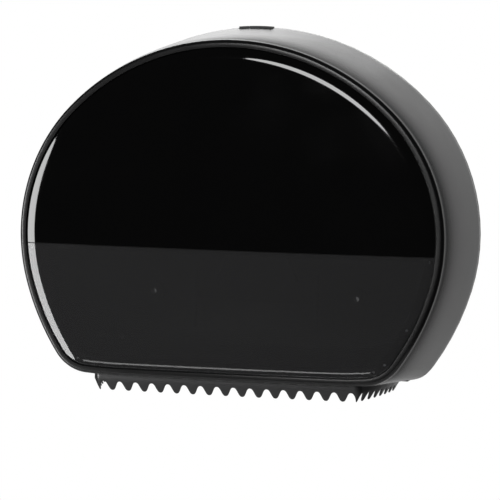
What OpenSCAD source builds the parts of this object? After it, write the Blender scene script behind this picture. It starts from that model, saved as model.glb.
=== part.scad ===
// Wall-mounted dispenser for jumbo toilet rolls, in millimetres.
// X runs to the right, the front faces -Y, Z is up. The wall is the plane y = 0, and the origin is the
// middle of the four wall screws on that plane.
// The cover is a lofted shell hinged at its bottom rear edge, and its front is slightly curved from side
// to side. The back plate carries the roll spindle, the lock and the outlet chute with its toothed tear
// bar.

/* [Front outline] */
// Radius of the crown
crown_r = 218.6; // [208:0.2:228]
// Turn of the crown from the middle to each shoulder, in degrees
crown_sweep = 45.5; // [43:0.1:48]
// Radius of the shoulders
shoulder_r = 168.3; // [160:0.1:176]
// Turn of each shoulder, in degrees
shoulder_sweep = 60.5; // [58:0.1:63]
// Radius of the lower sides
side_r = 237.7; // [225:0.1:250]
// Radius of the bottom corners
corner_r = 40.2; // [37:0.1:43]
// Turn of each bottom corner, in degrees
corner_sweep = 51.5; // [49:0.1:54]
// Radius of the arcs that lead into the straight bottom edge
belly_r = 500; // [400:10:600]
// Turn of each of these arcs, in degrees
belly_sweep = 3.9; // [3:0.1:5]
// Depth of the bottom edge of the front below the origin
belly_drop = 122.3; // [118:0.1:128]

/* [Cover] */
// Depth from the wall to the middle of the front face
depth = 133; // [128:1:140]
// Radius of the front's curve from side to side
bow_r = 1850; // [1500:10:2400]
// Growth of the outline from the front to the wall, at the top and sides
rim_flare = 14.3; // [12:0.1:16]
// Growth of the outline from the front to the wall, along the bottom
belly_flare = 6; // [4:0.5:7]
// Wall of the cover
cover_wall = 2.6; // [2:0.1:3]
// Radius of the front edge
edge_r = 5.5; // [4:0.5:6]
// Gap between the cover and the wall
rear_gap = 3.4; // [3:0.1:5]
// Width of the front edge outside the glossy face
lip_w = 6.8; // [6.6:0.1:7.4]
// Width of the inner ledge that carries the glossy face
ledge_w = 10.2; // [9:0.1:12]
// Thickness of the ledge
ledge_t = 2.4; // [2:0.1:3]
// Thickness of the upper panel and the window
face_t = 3.2; // [2.8:0.1:4]
// Width of the sloping border of the glossy face
border_w = 7.9; // [6:0.1:9]
// Fall of the sloping border
border_drop = 1.1; // [0.6:0.1:1.5]
// Gap around and between the panel and the window
face_gap = 0.2; // [0.1:0.05:0.4]
// Height of the seam between the panel and the window
seam_z = -0.4; // [-12:0.2:20]
// Height of the lap strip behind the seam
lap_h = 14; // [10:1:20]

/* [Back plate] */
// Thickness of the back plate
plate_t = 2.6; // [2.2:0.1:3]
// Distance of its edge inside the rear rim of the cover
plate_inset = 0.5; // [0.3:0.1:1.5]
// Height of the mounting pads on the plate
pad_h = 6; // [5:0.5:8]
// Height of the locating rim
rim_h = 10; // [6:0.5:12]
// Gap between the locating rim and the cover
rim_gap = 1.2; // [1:0.1:2]
// Wall of ribs and rims
rib_w = 2; // [1.6:0.1:2.6]
// Height of the ribs
rib_h = 5; // [3:0.5:6]
// Depth of the upper ends of the upright ribs below the origin
upright_rib_drop = 28; // [20:1:34]
// Depth of the cross rib below the origin
cross_rib_drop = 58; // [50:1:66]
// Radius of the ring rib round the spindle
ring_r = 72; // [64:1:80]
// Sideways distance between the wall screws
screw_dx = 202; // [190:2:214]
// Upright distance between the wall screws
screw_dz = 100; // [90:2:110]
// Radius of the wall screw holes
wall_hole_r = 2.75; // [2.25:0.25:3]
// Radius of the bosses round them
wall_boss_r = 10; // [8:0.5:11]
// Height of those bosses
wall_boss_h = 10; // [8:0.5:11]

/* [Roll spindle] */
// Height of the spindle above the origin
hub_z = 62; // [58:1:66]
// Radius of the post
post_r = 8; // [7:0.5:10]
// Radius of the post's flange
post_flange_r = 30; // [28:1:32]
// Thickness of that flange
post_flange_t = 4; // [3:0.5:5]
// Height of the shoulder that the hub runs against
post_shoulder_h = 4; // [3:0.5:6]
// Radius of the drum that the core of the roll slides on
drum_r = 27; // [25:0.5:28]
// Distance of the hub's front end behind the front face
hub_setback = 20.9; // [19:0.1:26]
// Radius of the hub's flange
hub_flange_r = 42; // [40:1:48]
// Thickness of that flange
hub_flange_t = 3; // [2.5:0.5:4]
// Wall of the hub
hub_wall = 2.5; // [2:0.1:3]
// Length of the tapered lead-in at the drum's front
lead_in = 4; // [3:0.5:6]
// Radius of the cap that holds the hub on
cap_r = 13; // [12:0.5:14]
// Thickness of the cap
cap_t = 4; // [3.5:0.5:5]
// Radial clearance of a turning fit
run_fit = 0.06; // [0.03:0.01:0.09]
// End play of turning parts
end_play = 0.5; // [0.3:0.1:1]
// Width of the brake leaf
brake_w = 12; // [10:1:14]
// Thickness of the brake leaf
brake_t = 0.8; // [0.6:0.1:1]

/* [Stub roll peg] */
// Distance of the peg inside the left side of the front
peg_inset = 42; // [38:1:46]
// Height of the peg
peg_z = 22; // [18:1:26]
// Radius of the peg
peg_r = 9; // [8:0.5:11]
// Distance of the peg's front end behind the front face
peg_setback = 32.4; // [28:0.2:40]

/* [Outlet chute and tear bar] */
// Distance of the chute's front wall behind the ledge
chute_setback = 6.4; // [5.4:0.2:10]
// Sideways distance from the middle to the start of the chute's front corners
chute_half = 123.4; // [118:0.1:126]
// Radius of the chute's front corners
chute_r = 7; // [5.8:0.2:8]
// Spread of the chute's sides at the front corners, in degrees
chute_flare = 15.5; // [12:0.5:17]
// Wall of the chute
chute_wall = 2.4; // [2:0.1:3]
// Height of the chute's front wall
chute_h = 33.2; // [28:0.2:38]
// Height of the joint between the chute and the tear bar
joint_z = -121; // [-123:0.5:-119]
// Width of the flanges at that joint
flange_w = 5.2; // [4.6:0.1:5.6]
// Thickness of those flanges
flange_t = 2.4; // [2:0.1:3]
// Teeth on each half of the front
front_teeth = 8; // [6:1:10]
// Teeth on each side
side_teeth = 7; // [5:1:9]
// Depth from the joint to the tips of the front teeth
tooth_reach = 16.7; // [15:0.1:20]
// Depth from the joint to the tips of the last side teeth
rear_reach = 15; // [13:0.2:17]
// Height of the front teeth
tooth_h = 8.6; // [6:0.2:9]
// Height of the last side teeth
rear_tooth_h = 6; // [4:0.2:7]
// Depth of the upright part of the tear bar, above the lean of its teeth
bar_upright = 6; // [4:0.2:7]
// Inward lean of the front teeth at their tips
tooth_lean = 4.7; // [2:0.1:5.5]
// Thickness of the tear bar at its edge
tooth_t = 1.3; // [1:0.1:1.8]

/* [Hinge] */
// Distance of the hinge line from the wall
hinge_y = 20; // [19:0.5:22]
// Depth of the hinge line below the origin
hinge_drop = 113; // [112:0.5:115]
// Radius of the hinge pins
pin_r = 3; // [2.5:0.25:3.5]
// Radius of the cover's hinge eyes
eye_r = 7.5; // [7:0.25:8.5]
// Thickness of the eyes
eye_t = 7; // [6:0.5:8]
// Sweep radius of the cover's bottom rear edge round the hinge line
swing_r = 16.2; // [15.5:0.1:16.4]
// Gap between the chute and the cover's bottom opening
opening_gap = 3; // [2.5:0.1:4]
// Distance of that opening's front edge behind the ledge
opening_setback = 1.4; // [1:0.1:2]
// Height of that opening's edge above the bottom edge of the front
opening_h = 11; // [10:0.5:13]

/* [Lock] */
// Sideways place of the lock's middle
lock_x = -4.7; // [-20:0.1:0]
// Width of the lock's roof
roof_w = 32; // [30:1:36]
// Depth of the roof in front of the back plate
roof_d = 12; // [11.5:0.5:13]
// Thickness of the roof
roof_t = 6; // [5:0.5:7]
// Height of the roof above the cover
roof_proud = 0.9; // [0.5:0.1:2]
// Gap round the roof in the cover's notch
roof_gap = 1.5; // [1:0.1:2]
// Width of the groove across the roof
groove_w = 1; // [0.8:0.1:1.4]
// Sideways distance from the lock's middle to its barrel
barrel_shift = 5.8; // [4:0.1:7]
// Radius of the barrel
barrel_r = 3.6; // [3.2:0.1:4]
// Wall round the barrel
barrel_wall = 2; // [1.6:0.1:2.4]
// Length of the barrel's guide below the roof
guide_l = 8.2; // [7:0.1:10]
// Radius of the keyhole
keyhole_r = 2.4; // [2:0.1:2.8]
// Length of the tongue from the barrel's axis
tongue_l = 20; // [18:0.5:22]
// Width of the tongue
tongue_w = 5; // [4.4:0.1:5.6]
// Thickness of the tongue
tongue_t = 3; // [2:0.1:3.5]
// Width of the square end of the barrel
tang_w = 3.4; // [3:0.1:3.6]
// Thickness of the catch
keeper_t = 2; // [1.5:0.1:2.5]
// Width of the catch's hook
hook_w = 8; // [6:0.5:10]
// Width of the catch's foot
keeper_w = 16; // [14:1:20]
// Length of the catch's foot
foot_l = 16; // [14:1:20]
// Play between the hook and the locked tongue
catch_gap = 0.6; // [0.4:0.1:1]
// Gap between the catch and the pieces round it
catch_clear = 1.4; // [1:0.1:1.6]

/* [Screws] */
// Radius of a screw's head
head_r = 3.6; // [3.2:0.1:4]
// Height of a screw's head
head_h = 2.2; // [1.8:0.1:2.6]
// Radius of a screw's shank
shank_r = 1.5; // [1.2:0.1:1.8]
// Radius of the heads of the small screws
small_head_r = 2.6; // [2.2:0.1:2.8]
// Radius of the shanks of the small screws
small_shank_r = 1.1; // [0.9:0.1:1.2]

/* [Hidden] */
$fn = 64;
eps = 0.01;

// The half outline of the front: five tangent arcs from the top middle, clockwise, to the bottom middle.
arc_r = [crown_r, shoulder_r, side_r, corner_r, belly_r];
side_sweep = 180 - crown_sweep - shoulder_sweep - corner_sweep - belly_sweep;
arc_sweep = [crown_sweep, shoulder_sweep, side_sweep, corner_sweep, belly_sweep];
arc_steps = [10, 14, 5, 12, 2];
flat_steps = 5;
function sum(v, n) = n < 1 ? 0 : v[n - 1] + sum(v, n - 1);
function heading(k) = sum(arc_sweep, k);
function normal(h) = [sin(h), cos(h)];
outline_h = sum([for (k = [0:4]) arc_r[k] * (cos(heading(k)) - cos(heading(k + 1)))], 5);
top_z = outline_h - belly_drop;
function centre(k) = k == 0
    ? [0, top_z - crown_r]
    : centre(k - 1) + (arc_r[k - 1] - arc_r[k]) * normal(heading(k));
arc_centre = [for (k = [0:4]) centre(k)];
stations = [for (k = [0:4]) for (j = [0:arc_steps[k] - 1])
    [k, heading(k) + arc_sweep[k] * j / arc_steps[k]]];
right_stations = concat(stations, [for (j = [0:flat_steps]) [5, 1 - j / flat_steps]]);
half_w = arc_centre[1][0] + shoulder_r;

// The front's curve: how far it lies nearer to the wall at x than in the middle.
function bow(x) = bow_r - sqrt(bow_r * bow_r - x * x);

// The outline grows from the front to the wall, less along the bottom.
edge_y = depth - edge_r;
function ease(t) = t <= 0 ? 0 : t >= 1 ? 1 : t * t * (3 - 2 * t);
corner_heading = heading(3) + 0.25 * corner_sweep;
function flare(h) = rim_flare + (belly_flare - rim_flare)
    * ease((h - corner_heading) / (180 - corner_heading - 8));
function grow(y, h) = flare(h) * max(0, 1 - y / edge_y);

// Points of the outline at a depth y in front of the wall, drawn in by inset. A station is an arc and a
// heading, or 5 and a share of the straight bottom edge. Rings near the front follow its curve.
function outline_point(s, y, inset) = s[0] == 5
    ? [arc_centre[4][0] * s[1], -belly_drop - grow(y, 180) + inset]
    : arc_centre[s[0]] + (arc_r[s[0]] + grow(y, s[1]) - inset) * normal(s[1]);
function right_side(y, inset) = [for (s = right_stations) outline_point(s, y, inset)];
function outline(y, inset) = let (r = right_side(y, inset), n = len(r))
    concat(r, [for (i = [n - 2:-1:1]) [-r[i][0], r[i][1]]]);
function ring(y, inset) = let (o = outline(y, inset))
    [for (i = [len(o) - 1:-1:0]) [o[i][0], (y < edge_y / 2 ? 0 : bow(o[i][0])) - y, o[i][1]]];
function crown_z(x, y) = top_z - crown_r + sqrt(pow(crown_r + grow(y, 0), 2) - x * x);

// Front stack of the cover.
seat_y = depth - face_t;
ledge_y = seat_y - ledge_t;
ledge_in = lip_w + ledge_w;
screw_inset = lip_w + ledge_w / 2;
face_screw_headings = [20, 58, 96, 116, 133, 158];

// The chute in plan: a front with the cover's curve, round corners, and sides that spread towards the
// wall.
deg = 180 / PI;
chute_y = ledge_y - chute_setback;
chute_rear = plate_t;
chute_bow = asin(chute_half / bow_r);
chute_turn = 90 - chute_flare;
function plan_normal(a) = [sin(a), -cos(a)];
front_c = [0, bow_r - chute_y];
corner_c = front_c + (bow_r - chute_r) * plan_normal(chute_bow);
chute_side_r = chute_r - (chute_rear + corner_c[1]) / cos(chute_turn);
side_c = corner_c + (chute_r - chute_side_r) * plan_normal(chute_turn);
chute_rear_x = side_c[0] + chute_side_r;
front_len = bow_r * chute_bow / deg;
corner_end = front_len + chute_r * (chute_turn - chute_bow) / deg;
path_len = corner_end + chute_side_r * chute_flare / deg;
function path_turn(s) = s < front_len ? s / bow_r * deg
    : s < corner_end ? chute_bow + (s - front_len) / chute_r * deg
    : chute_turn + (s - corner_end) / chute_side_r * deg;
function half_path(s, o) = let (n = plan_normal(path_turn(s)))
    s < front_len ? front_c + (bow_r - o) * n
    : s < corner_end ? corner_c + (chute_r - o) * n
    : side_c + (chute_side_r - o) * n;
function path(s, o) = let (p = half_path(abs(s), o)) [s < 0 ? -p[0] : p[0], p[1]];
side_stops = [for (j = [0:8]) along(corner_end, path_len, j / 8)];
path_stops = concat([for (j = [0:5]) front_len * j / 6],
    [for (j = [0:4]) along(front_len, corner_end, j / 5)], side_stops);
function both_ways(v) = concat([for (i = [len(v) - 1:-1:1]) -v[i]], v);
function wall_plan(o1, o2) = let (s = both_ways(path_stops)) concat(
    [for (a = s) path(a, o1)], [for (i = [len(s) - 1:-1:0]) path(s[i], o2)]);
function chute_x(y) = side_c[0] + sqrt(pow(chute_side_r, 2) - pow(-y - side_c[1], 2));

// Stack of the spindle in front of the wall.
pad_y = plate_t + pad_h;
post_y = pad_y + post_flange_t;
hub_y = post_y + post_shoulder_h + end_play;
hub_front = depth - hub_setback;
hub_l = hub_front - hub_y;
post_end = hub_front + end_play;
post_screw_pcr = (post_flange_r + post_r + post_shoulder_w()) / 2;
function post_shoulder_w() = 4;
brake_y = hub_y - 0.3;
brake_tip_z = hub_z - post_flange_r - 1;
brake_base_z = brake_tip_z - 29;
brake_screw_z = brake_base_z + 7;
peg_x = peg_inset - half_w;
peg_l = depth - peg_setback - pad_y;

// Lock, from the roof down.
roof_top = crown_z(abs(lock_x), rear_gap) + roof_proud;
roof_z = roof_top - roof_t;
roof_y = plate_t + roof_d;
notch_w = roof_w + 2 * roof_gap;
notch_y = roof_y + roof_gap;
guide_z = roof_z - guide_l;
guide_w = 2 * (barrel_r + barrel_wall + 1);
barrel_x = lock_x - barrel_shift;
hook_y = plate_t + catch_clear + keeper_t;
barrel_y = hook_y + catch_gap + tongue_w / 2;
guide_y = barrel_y + barrel_r + barrel_wall;
barrel_top = roof_z + roof_t * 0.35;
tongue_z = guide_z - end_play - tongue_t;
arm_z = roof_z - catch_clear - keeper_t;
hook_z = tongue_z - 1;
keeper_x = barrel_x + tongue_l - hook_w / 2;
foot_y = notch_y + 2;
keeper_screw_y = foot_y + foot_l * 0.65;
ear_w = 10;
ear_x = barrel_x - guide_w / 2 - ear_w / 2;
ear_z = guide_z - 2;
ear_gap = 11.5;

// Hinge, outwards from the chute's side walls.
hinge_z = -hinge_drop;
pin_boss_x = chute_x(hinge_y) + 2.6;
eye_x = pin_boss_x + 2.4;
pin_end_x = eye_x + eye_t + 0.6;
pin_head_r = pin_r + 1.5;
pin_head_x = chute_x(hinge_y + pin_head_r) - chute_wall - 0.1;
swing_limit_x = arc_centre[3][0] + corner_r + rim_flare;

// Tear bar screws stand at these places along the chute's path.
bar_screw_s = [-0.84 * path_len, -0.28 * path_len, 0.28 * path_len, 0.84 * path_len];
bar_screw_o = flange_w + 0.6;
bar_ear_r = 4.4;

// ---- Shared shapes ----

// Skins a list of rings: closed into a tube, or capped at both ends. The caps of mirrored rings are
// strips across, because such rings follow the front's curve.
module skin(rings, closed, mirrored = false) {
    n = len(rings[0]);
    m = len(rings);
    last = closed ? m - 1 : m - 2;
    walls = [for (r = [0:last]) for (c = [0:n - 1])
        let (a = r * n + c, b = r * n + (c + 1) % n, d = ((r + 1) % m) * n + c,
            e = ((r + 1) % m) * n + (c + 1) % n)
        each [[a, d, e], [a, e, b]]];
    strips = [[0, 1, n - 1], each [for (c = [1:n / 2 - 2]) [c, c + 1, n - 1 - c, n - c]],
        [n / 2 - 1, n / 2, n / 2 + 1]];
    cap = mirrored ? strips : [[for (c = [0:n - 1]) c]];
    caps = closed ? [] : concat(cap,
        [for (f = cap) [for (c = [len(f) - 1:-1:0]) (m - 1) * n + f[c]]]);
    polyhedron(points = [for (r = rings) each r], faces = concat(walls, caps));
}

// A column behind the front's curve at depth y.
module bow_column(y) {
    translate([0, bow_r - y, -2 * belly_drop])
        cylinder(r = bow_r, h = 3 * outline_h, $fn = 1440);
}

// Keeps what lies between two such curves.
module bowed(y1, y2) {
    difference() {
        intersection() {
            children();
            bow_column(y2);
        }
        bow_column(y1);
    }
}

// Stands its children on the seat of the face, square to it, with their Z forwards.
module at_face(p) {
    translate([p[0], bow(p[0]) - seat_y, p[1]])
        rotate([90, 0, asin(p[0] / bow_r)])
            children();
}

// Extrudes an upright outline forwards from a depth y in front of the wall.
module forward(y, length) {
    translate([0, -y, 0])
        rotate([90, 0, 0])
            linear_extrude(length)
                children();
}

// A round bar that points forwards.
module rod(x, z, y, r, length) {
    translate([x, -y, z])
        rotate([90, 0, 0])
            cylinder(r = r, h = length);
}

// A round bar along X.
module crossbar(x, y, z, r, length) {
    translate([x, -y, z])
        rotate([0, 90, 0])
            cylinder(r = r, h = length);
}

// A block given by its sideways middle, depth range and height range.
module block(x, w, y1, y2, z1, z2) {
    translate([x - w / 2, -y2, z1])
        cube([w, y2 - y1, z2 - z1]);
}

// A pan-head screw along Z with its head's seat at z = 0 and its shank downwards.
module screw(hr, hh, sr, length) {
    difference() {
        union() {
            cylinder(r = hr, h = hh * 0.45);
            translate([0, 0, hh * 0.45])
                cylinder(r1 = hr, r2 = hr * 0.72, h = hh * 0.55);
            translate([0, 0, -length])
                cylinder(r = sr, h = length + eps);
        }
        for (a = [0, 90])
            rotate([0, 0, a])
                translate([-hr * 0.55, -hr * 0.11, hh * 0.5])
                    cube([hr * 1.1, hr * 0.22, hh]);
    }
}

// A screw driven towards the wall, with its head's seat at depth y.
module wall_screw(x, z, y, length, hr = head_r, hh = head_h, sr = shank_r) {
    translate([x, -y, z])
        rotate([90, 0, 0])
            screw(hr, hh, sr, length);
}

// ---- Base ----

function wall_screw_places() = [for (i = [-1, 1]) for (j = [-1, 1]) [i * screw_dx / 2, j * screw_dz / 2]];
function post_screw_places() = [for (a = [90, 210, 330])
    [post_screw_pcr * cos(a), hub_z + post_screw_pcr * sin(a)]];
tab_w = 15;
tab_x = chute_rear_x - chute_wall - tab_w / 2;
function chute_screw_places() = [for (i = [-1, 1]) for (k = [0.3, 0.75])
    [i * tab_x, joint_z + chute_h * k]];
function lock_screw_places() = [[ear_x, ear_z], [ear_x, ear_z - ear_gap]];

module plate_ribs() {
    for (a = [22.5:45:359])
        translate([0, 0, hub_z])
            rotate([0, -a, 0])
                translate([post_flange_r - 2, -plate_t - rib_h, -rib_w / 2])
                    cube([ring_r * 1.5 - post_flange_r, rib_h + eps, rib_w]);
    translate([0, 0, hub_z])
        forward_ring(plate_t, ring_r + rib_w / 2, ring_r - rib_w / 2, rib_h);
    for (i = [-1, 1])
        block(i * screw_dx * 0.3, rib_w, plate_t - eps, plate_t + rib_h, joint_z + chute_h + 4,
            -upright_rib_drop);
    block(0, screw_dx * 0.6, plate_t - eps, plate_t + rib_h, -cross_rib_drop, rib_w - cross_rib_drop);
}

module forward_ring(y, r1, r2, length) {
    difference() {
        rod(0, 0, y - eps, r1, length + eps);
        rod(0, 0, y - 1, r2, length + 2);
    }
}

// The rim that the closed cover sits round, cut away at the lock.
module locating_rim() {
    rim_in = cover_wall + rim_gap;
    difference() {
        forward(plate_t - eps, rim_h) difference() {
            polygon(outline(rear_gap + 8, rim_in));
            polygon(outline(rear_gap + 8, rim_in + rib_w));
            translate([-outline_h, -2 * outline_h + screw_dz / 4])
                square(2 * outline_h);
        }
        block(lock_x, notch_w + 8, 0, plate_t + rim_h + 1, top_z - 30, top_z + 30);
    }
}

module back_plate() {
    color([0.09, 0.09, 0.1])
        difference() {
            union() {
                forward(0, plate_t)
                    polygon(outline(0, plate_inset));
                locating_rim();
                plate_ribs();
                rod(0, hub_z, plate_t - eps, post_flange_r, pad_h + eps);
                rod(peg_x, peg_z, plate_t - eps, peg_r + 3, pad_h + eps);
                for (p = wall_screw_places())
                    rod(p[0], p[1], plate_t - eps, wall_boss_r, wall_boss_h + eps);
                for (p = lock_screw_places())
                    rod(p[0], p[1], plate_t - eps, ear_w / 2, pad_h + eps);
                block(0, brake_w + 4, plate_t - eps, pad_y, brake_base_z, brake_base_z + 14);
            }
            for (p = wall_screw_places())
                rod(p[0], p[1], -1, wall_hole_r, 30);
            for (p = post_screw_places())
                rod(p[0], p[1], 1, shank_r, pad_y);
            for (p = lock_screw_places())
                rod(p[0], p[1], 1, shank_r, pad_y);
            for (p = chute_screw_places())
                rod(p[0], p[1], 0.8, small_shank_r, plate_t);
            rod(peg_x, peg_z, 1, shank_r, pad_y);
            rod(0, brake_screw_z, 1, shank_r, pad_y);
        }
}

module spindle_post() {
    color([0.16, 0.16, 0.17])
        difference() {
            union() {
                rod(0, hub_z, pad_y, post_flange_r, post_flange_t);
                rod(0, hub_z, post_y - eps, post_r + post_shoulder_w(), post_shoulder_h + eps);
                rod(0, hub_z, post_y, post_r, post_end - post_y);
            }
            for (p = post_screw_places())
                rod(p[0], p[1], pad_y - 1, shank_r + 0.2, post_flange_t + 2);
            rod(0, hub_z, post_end - 16, shank_r, 17);
        }
}

module post_screws() {
    color([0.7, 0.7, 0.72])
        for (p = post_screw_places())
            wall_screw(p[0], p[1], post_y, post_flange_t + pad_h - 0.5);
}

module hub_cap() {
    color([0.12, 0.12, 0.13])
        difference() {
            union() {
                rod(0, hub_z, post_end, cap_r, cap_t * 0.6);
                translate([0, -post_end - cap_t * 0.6 + eps, hub_z])
                    rotate([90, 0, 0])
                        cylinder(r1 = cap_r, r2 = cap_r - cap_t * 0.4, h = cap_t * 0.4);
            }
            rod(0, hub_z, post_end - 1, shank_r + 0.2, cap_t + 2);
        }
}

module hub_screw() {
    color([0.7, 0.7, 0.72])
        wall_screw(0, hub_z, post_end + cap_t, cap_t + 13);
}

// A bent leaf that rubs on the back of the hub's flange.
module brake_spring() {
    leaf = [[brake_base_z, pad_y], [brake_base_z + 14, pad_y], [brake_tip_z - 5, brake_y - brake_t],
        [brake_tip_z, brake_y - brake_t], [brake_tip_z, brake_y], [brake_tip_z - 5.4, brake_y],
        [brake_base_z + 13.6, pad_y + brake_t], [brake_base_z, pad_y + brake_t]];
    color([0.75, 0.75, 0.77])
        difference() {
            translate([-brake_w / 2, 0, 0])
                rotate([90, 0, 90])
                    linear_extrude(brake_w)
                        polygon([for (p = leaf) [-p[1], p[0]]]);
            rod(0, brake_screw_z, pad_y - 1, shank_r + 0.2, 3);
        }
}

module brake_screw() {
    color([0.7, 0.7, 0.72])
        wall_screw(0, brake_screw_z, pad_y + brake_t, brake_t + pad_h - 0.5);
}

module stub_peg() {
    bore_r = peg_r - 2.5;
    color([0.16, 0.16, 0.17])
        difference() {
            union() {
                rod(peg_x, peg_z, pad_y, peg_r + 3, 3);
                translate([peg_x, -pad_y, peg_z])
                    rotate([90, 0, 0])
                        cylinder(r1 = peg_r, r2 = peg_r - 1, h = peg_l);
            }
            rod(peg_x, peg_z, pad_y + 3, bore_r, peg_l);
            rod(peg_x, peg_z, pad_y - 1, shank_r + 0.2, 5);
        }
}

module stub_screw() {
    color([0.7, 0.7, 0.72])
        wall_screw(peg_x, peg_z, pad_y + 3, 3 + pad_h - 0.5);
}

function bar_screw_places() = [for (s = bar_screw_s) path(s, bar_screw_o)];

module flange_ears(z, h) {
    for (p = bar_screw_places())
        translate([p[0], p[1], z])
            cylinder(r = bar_ear_r, h = h);
}

// The walls stand on a flange that the tear bar hangs from; tabs at the rear fix them to the plate.
module outlet_chute() {
    color([0.1, 0.1, 0.11])
        difference() {
            union() {
                translate([0, 0, joint_z])
                    linear_extrude(chute_h)
                        polygon(wall_plan(0, chute_wall));
                translate([0, 0, joint_z])
                    linear_extrude(flange_t)
                        polygon(wall_plan(chute_wall / 2, flange_w));
                intersection() {
                    flange_ears(joint_z, flange_t);
                    translate([0, 0, joint_z - 1])
                        linear_extrude(flange_t + 2)
                            polygon(concat([for (s = both_ways(path_stops)) path(s, 0.4)]));
                }
                for (i = [-1, 1]) {
                    block(i * tab_x, tab_w + 2, plate_t, plate_t + chute_wall, joint_z, joint_z + chute_h);
                    crossbar(i > 0 ? chute_x(hinge_y) - 1 : -pin_boss_x, hinge_y, hinge_z, eye_r,
                        pin_boss_x - chute_x(hinge_y) + 1);
                }
            }
            for (i = [-1, 1])
                crossbar(i > 0 ? pin_head_x - 4 : -pin_boss_x - 1, hinge_y, hinge_z, pin_r,
                    pin_boss_x - pin_head_x + 5);
            for (p = bar_screw_places())
                translate([p[0], p[1], joint_z - 1])
                    cylinder(r = small_shank_r + 0.2, h = flange_t + 2);
            for (p = chute_screw_places())
                rod(p[0], p[1], 0, small_shank_r + 0.2, plate_t + chute_wall + 1);
        }
}

module chute_screws() {
    color([0.7, 0.7, 0.72])
        for (p = chute_screw_places())
            wall_screw(p[0], p[1], plate_t + chute_wall, chute_wall + 1.7, small_head_r, head_h,
                small_shank_r);
}

// Tooth edge along the path. The phase is a whole number at the middle of each tooth.
corner_s = (front_len + corner_end) / 2;
side_end_s = path_len - 2.6 * chute_wall;
teeth = front_teeth + side_teeth;
side_pitch = (side_end_s - corner_s) / (side_teeth + 0.5);
function tooth_s(phase) = let (p = abs(phase), s = p <= front_teeth ? p * corner_s / front_teeth
    : corner_s + (p - front_teeth) * side_pitch) phase < 0 ? -s : s;
function side_share(phase) = max(0, min(1, (abs(phase) - front_teeth) / side_teeth));
function along(a, b, t) = a + (b - a) * t;
function tooth_wave(phase) = let (c = cos(360 * phase)) 0.5 + 0.5 * c * (1.3 - 0.3 * c * c);
function edge_drop(phase) = let (t = side_share(phase)) along(tooth_reach, rear_reach, t)
    - along(tooth_h, rear_tooth_h, t) * (1 - tooth_wave(phase));
function bar_section(phase) = let (d = edge_drop(phase),
        lean = tooth_lean * (d - bar_upright) / (tooth_reach - bar_upright))
    [[0, 0], [0, bar_upright], [lean, d], [lean + tooth_t, d], [chute_wall, bar_upright],
        [chute_wall, flange_t], [flange_w, flange_t], [flange_w, 0]];
function bar_ring(phase) = [for (q = bar_section(phase)) let (p = path(tooth_s(phase), q[0]))
    [p[0], p[1], joint_z - q[1]]];
tooth_steps = 9;
phase_end = teeth + 0.5;

module tear_bar() {
    color([0.13, 0.13, 0.14])
        difference() {
            union() {
                skin([for (j = [-phase_end * tooth_steps * 2:2:phase_end * tooth_steps * 2])
                    bar_ring(j / (tooth_steps * 2))], false);
                intersection() {
                    flange_ears(joint_z - flange_t, flange_t);
                    translate([0, 0, joint_z - flange_t - 1])
                        linear_extrude(flange_t + 2)
                            polygon(concat([for (s = both_ways(path_stops)) path(s, chute_wall / 2)]));
                }
            }
            for (p = bar_screw_places())
                translate([p[0], p[1], joint_z - flange_t - 1])
                    cylinder(r = small_shank_r, h = flange_t + 2);
        }
}

module tear_bar_screws() {
    color([0.7, 0.7, 0.72])
        for (p = bar_screw_places())
            translate([p[0], p[1], joint_z + flange_t])
                screw(small_head_r, head_h, small_shank_r, 2 * flange_t);
}

module hinge_pins() {
    color([0.75, 0.75, 0.77])
        for (i = [-1, 1])
            mirror([i > 0 ? 0 : 1, 0, 0]) {
                crossbar(pin_head_x, hinge_y, hinge_z, pin_r, pin_end_x - pin_head_x);
                crossbar(pin_head_x - 2, hinge_y, hinge_z, pin_head_r, 2 + eps);
            }
}

// ---- Lock ----

// A disc with the curve of the crown's rear rim, raised by a small height.
module crown_disc(raise) {
    translate([0, 1, top_z - crown_r])
        rotate([90, 0, 0])
            cylinder(r = crown_r + grow(rear_gap, 0) + raise, h = 2 * notch_y, $fn = 180);
}

// The roof fills the notch in the cover. The guide below it holds the barrel upright.
module lock_housing() {
    bore_r = barrel_r + run_fit;
    color([0.1, 0.1, 0.11])
        difference() {
            union() {
                intersection() {
                    block(lock_x, roof_w, plate_t, roof_y, roof_z, roof_top + 3);
                    crown_disc(roof_proud);
                }
                block(barrel_x, guide_w, plate_t, guide_y, guide_z, roof_z + eps);
                block(ear_x + 0.5, ear_w + 1, pad_y, pad_y + 2.4, ear_z - ear_gap - ear_w / 2,
                    ear_z + ear_w / 2);
            }
            translate([barrel_x, -barrel_y, guide_z - 1])
                cylinder(r = bore_r, h = barrel_top + end_play - guide_z + 1);
            translate([barrel_x, -barrel_y, barrel_top])
                cylinder(r = keyhole_r, h = roof_t);
            block(barrel_x, groove_w, 0, roof_y + 1, roof_top - 1.6, roof_top + 3);
            for (p = lock_screw_places())
                rod(p[0], p[1], pad_y - 1, shank_r + 0.2, 5);
        }
}

module lock_screws() {
    color([0.7, 0.7, 0.72])
        for (p = lock_screw_places())
            wall_screw(p[0], p[1], pad_y + 2.4, 2.4 + pad_h - 0.5);
}

// The barrel has a slot for the key on top and a square end for the tongue below.
module lock_barrel() {
    color([0.62, 0.62, 0.64])
        translate([barrel_x, -barrel_y, 0])
            difference() {
                union() {
                    translate([0, 0, tongue_z + tongue_t])
                        cylinder(r = barrel_r, h = barrel_top - tongue_z - tongue_t);
                    translate([-tang_w / 2, -tang_w / 2, tongue_z + 0.2])
                        cube([tang_w, tang_w, tongue_t]);
                }
                translate([-keyhole_r * 0.8, -0.6, barrel_top - 4])
                    cube([keyhole_r * 1.6, 1.2, 5]);
                translate([0, 0, tongue_z - 1])
                    cylinder(r = small_shank_r, h = 7);
            }
}

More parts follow.
